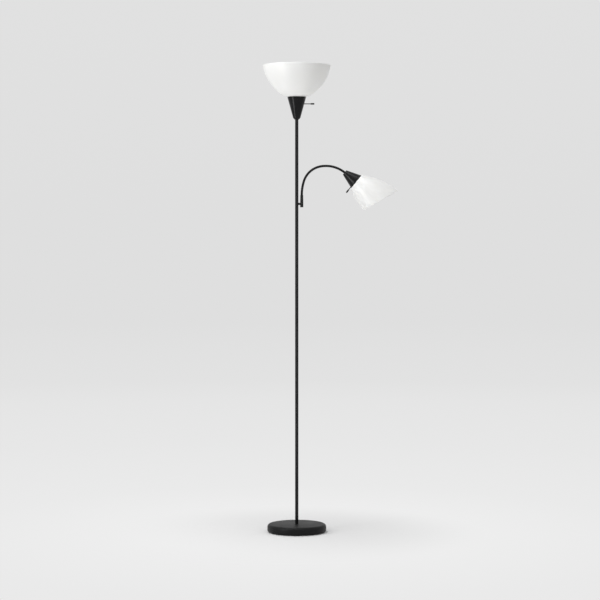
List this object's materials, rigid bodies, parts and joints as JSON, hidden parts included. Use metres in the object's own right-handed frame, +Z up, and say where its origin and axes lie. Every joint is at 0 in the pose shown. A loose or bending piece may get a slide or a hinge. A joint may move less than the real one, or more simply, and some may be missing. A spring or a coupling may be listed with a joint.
{
  "type": "torchiere floor lamp with reading light",
  "caption": "Floor lamp: a weighted round base, a slim pole, an uplight with a deep bowl shade, and a reading light with a slanted bell shade on a gooseneck.",
  "frame": {"origin": "centre of the base on the floor", "axes": "+Z up the pole, +X towards the reading light, -Y the front"},
  "size_m": [0.5197, 0.2608, 1.81],
  "materials": {
    "black_paint": "satin black paint on steel",
    "gooseneck_coating": "satin black coating on a ribbed steel hose",
    "cone_plastic": "satin black moulding",
    "black_plastic": "dull black moulding",
    "ring_plastic": "dull black moulding",
    "shade_plastic": "satin translucent white",
    "cast_weight": "rough casting",
    "zinc_plate": "zinc-plated sheet",
    "zinc_fasteners": "zinc plated",
    "foam_pad": "closed-cell foam",
    "black_rubber": "soft black rubber",
    "brass_contacts": "bright",
    "cap_metal": "rolled thread",
    "opal_glass": "frosted white inside"
  },
  "bodies": {
    "stand": {"arm_collar": "black_paint", "arm_insert": "zinc_fasteners", "arm_nipple": "zinc_fasteners", "base_cover": "black_paint", "base_nut": "zinc_fasteners", "base_stud": "zinc_fasteners", "base_washer": "zinc_fasteners", "base_weight": "cast_weight", "cord_grommet": "black_rubber", "ferrule_plug": "black_plastic", "floor_pad": "foam_pad", "floor_plate": "zinc_plate", "floor_plate_screws": "zinc_fasteners", "neck_ferrule": "black_paint", "neck_link_00": "gooseneck_coating", "pole_inserts": "zinc_fasteners", "pole_studs": "zinc_fasteners", "pole_tube_1": "black_paint", "pole_tube_2": "black_paint", "pole_tube_3": "black_paint", "pole_tube_4": "black_paint", "uplight_bowl": "shade_plastic", "uplight_bulb_cap": "cap_metal", "uplight_bulb_glass": "opal_glass", "uplight_centre_contact": "brass_contacts", "uplight_cone": "cone_plastic", "uplight_lampholder": "black_plastic", "uplight_screw_shell": "brass_contacts", "uplight_shade_ring": "ring_plastic", "uplight_stem": "zinc_fasteners", "uplight_stem_nut": "zinc_fasteners"},
    "neck_01": {"neck_link_01": "gooseneck_coating"},
    "neck_02": {"neck_link_02": "gooseneck_coating"},
    "neck_03": {"neck_link_03": "gooseneck_coating"},
    "neck_04": {"neck_link_04": "gooseneck_coating"},
    "neck_05": {"neck_link_05": "gooseneck_coating"},
    "neck_06": {"neck_link_06": "gooseneck_coating"},
    "neck_07": {"neck_link_07": "gooseneck_coating"},
    "neck_08": {"neck_link_08": "gooseneck_coating"},
    "neck_09": {"neck_link_09": "gooseneck_coating"},
    "reading_head": {"neck_link_10": "gooseneck_coating", "reading_bulb_cap": "cap_metal", "reading_bulb_glass": "opal_glass", "reading_centre_contact": "brass_contacts", "reading_cone": "cone_plastic", "reading_lampholder": "black_plastic", "reading_screw_shell": "brass_contacts", "reading_shade": "shade_plastic", "reading_shade_ring": "ring_plastic", "reading_stem": "zinc_fasteners", "reading_stem_nut": "zinc_fasteners"},
    "uplight_switch": {"uplight_switch_cam": "brass_contacts", "uplight_switch_shaft": "black_paint", "uplight_switch_knob": "black_plastic"},
    "reading_switch": {"reading_switch_cam": "brass_contacts", "reading_switch_shaft": "black_paint", "reading_switch_knob": "black_plastic"}
  },
  "joints": [
    {"name": "neck_bend_1", "type": "hinge", "parent": "stand", "child": "neck_01", "pos_m": [0.0198, 0, 1.32099], "axis": [0, -1, 0], "range_deg": [-6, 15]},
    {"name": "neck_lean_1", "type": "hinge", "parent": "neck_01", "child": "neck_02", "pos_m": [0.02307, 0, 1.34515], "axis": [-0.9796, 0, 0.2008], "range_deg": [-10, 10]},
    {"name": "neck_bend_2", "type": "hinge", "parent": "neck_02", "child": "neck_03", "pos_m": [0.02967, 0, 1.36861], "axis": [0, -1, 0], "range_deg": [-6, 15]},
    {"name": "neck_lean_2", "type": "hinge", "parent": "neck_03", "child": "neck_04", "pos_m": [0.04181, 0, 1.38968], "axis": [-0.7842, 0, 0.6205], "range_deg": [-10, 10]},
    {"name": "neck_bend_3", "type": "hinge", "parent": "neck_04", "child": "neck_05", "pos_m": [0.05952, 0, 1.40633], "axis": [0, -1, 0], "range_deg": [-6, 15]},
    {"name": "neck_lean_3", "type": "hinge", "parent": "neck_05", "child": "neck_06", "pos_m": [0.0813, 0, 1.41714], "axis": [-0.3083, 0, 0.9513], "range_deg": [-10, 10]},
    {"name": "neck_bend_4", "type": "hinge", "parent": "neck_06", "child": "neck_07", "pos_m": [0.10525, 0, 1.42147], "axis": [0, -1, 0], "range_deg": [-6, 15]},
    {"name": "neck_lean_4", "type": "hinge", "parent": "neck_07", "child": "neck_08", "pos_m": [0.12959, 0, 1.4205], "axis": [0.1445, 0, 0.9895], "range_deg": [-10, 10]},
    {"name": "neck_bend_5", "type": "hinge", "parent": "neck_08", "child": "neck_09", "pos_m": [0.15318, 0, 1.41447], "axis": [0, -1, 0], "range_deg": [-6, 15]},
    {"name": "neck_lean_5", "type": "hinge", "parent": "neck_09", "child": "reading_head", "pos_m": [0.175, 0, 1.40365], "axis": [0.536, 0, 0.8442], "range_deg": [-10, 10]},
    {"name": "uplight_switch_turn", "type": "hinge", "parent": "stand", "child": "uplight_switch", "pos_m": [0, 0, 1.661], "axis": [1, 0, 0], "continuous": true},
    {"name": "reading_switch_turn", "type": "hinge", "parent": "reading_head", "child": "reading_switch", "pos_m": [0.22718, 0, 1.36294], "axis": [-0.623, 0, -0.7822], "continuous": true}
  ],
  "couplings": [
    {"joint": "neck_bend_2", "follows": "neck_bend_1", "ratio": 1},
    {"joint": "neck_lean_2", "follows": "neck_lean_1", "ratio": 1},
    {"joint": "neck_bend_3", "follows": "neck_bend_1", "ratio": 1},
    {"joint": "neck_lean_3", "follows": "neck_lean_1", "ratio": 1},
    {"joint": "neck_bend_4", "follows": "neck_bend_1", "ratio": 1},
    {"joint": "neck_lean_4", "follows": "neck_lean_1", "ratio": 1},
    {"joint": "neck_bend_5", "follows": "neck_bend_1", "ratio": 1},
    {"joint": "neck_lean_5", "follows": "neck_lean_1", "ratio": 1}
  ]
}
